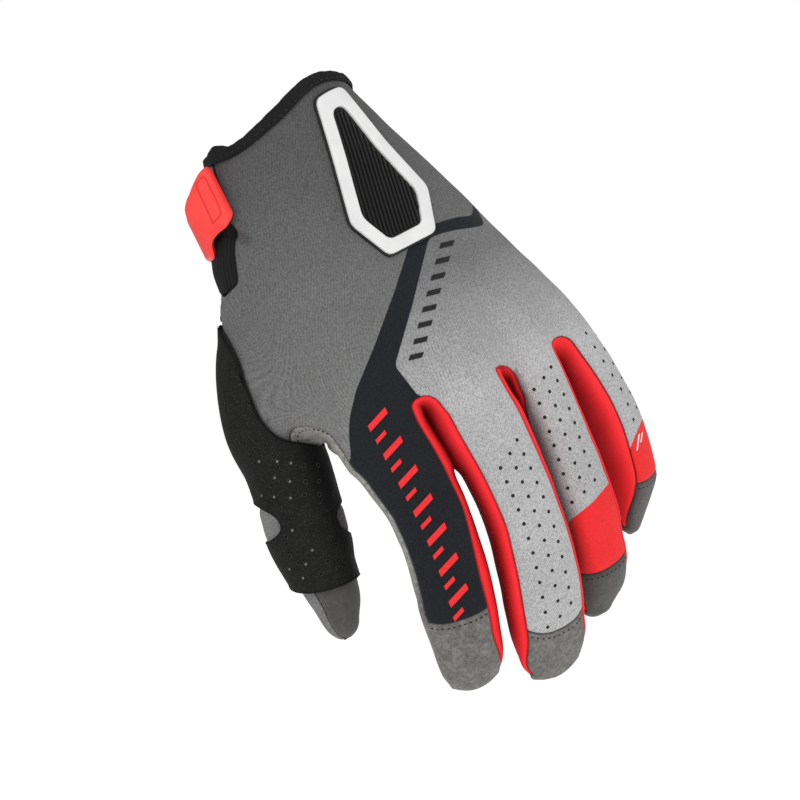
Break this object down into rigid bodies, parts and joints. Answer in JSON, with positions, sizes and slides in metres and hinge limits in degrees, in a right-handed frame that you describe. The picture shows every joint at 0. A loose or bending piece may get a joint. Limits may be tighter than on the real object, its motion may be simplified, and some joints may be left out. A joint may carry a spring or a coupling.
{
  "type": "motocross glove",
  "caption": "Left-hand motocross glove in its worn form, with red fourchettes, a strap with a rubber tab and a guard on the back of the wrist.",
  "frame": {"origin": "middle of the wrist opening", "axes": "+Z out of the wrist opening, up the forearm, with the fingers towards -Z; -Y the way the back of the hand faces; -X the thumb's side"},
  "size_m": [0.1359, 0.0658, 0.2128],
  "materials": {
    "back_cloth": "matte twill, printed in grey, black and red",
    "suede": "matte brushed suede",
    "stretch_red": "matte stretch knit",
    "elastic": "gathered matte knit",
    "synthetic_leather": "matte, perforated",
    "binding": "matte ribbed tape",
    "hook_tape": "matte hook and loop tape",
    "rubber_red": "satin moulded",
    "guard_white": "satin",
    "guard_black": "matte ribbed"
  },
  "bodies": {
    "root": {"back_panel": "back_cloth", "palm_panel": "suede", "fourchette_index_middle": "stretch_red", "fourchette_middle_ring": "stretch_red", "fourchette_ring_little": "stretch_red", "thumb_back": "back_cloth", "thumb_front": "suede", "wrist_gusset": "elastic", "thumb_overlay": "synthetic_leather", "cuff_binding": "binding", "wrist_strap": "hook_tape", "pull_tab": "rubber_red", "guard_frame": "guard_white", "guard_insert": "guard_black"}
  },
  "joints": []
}
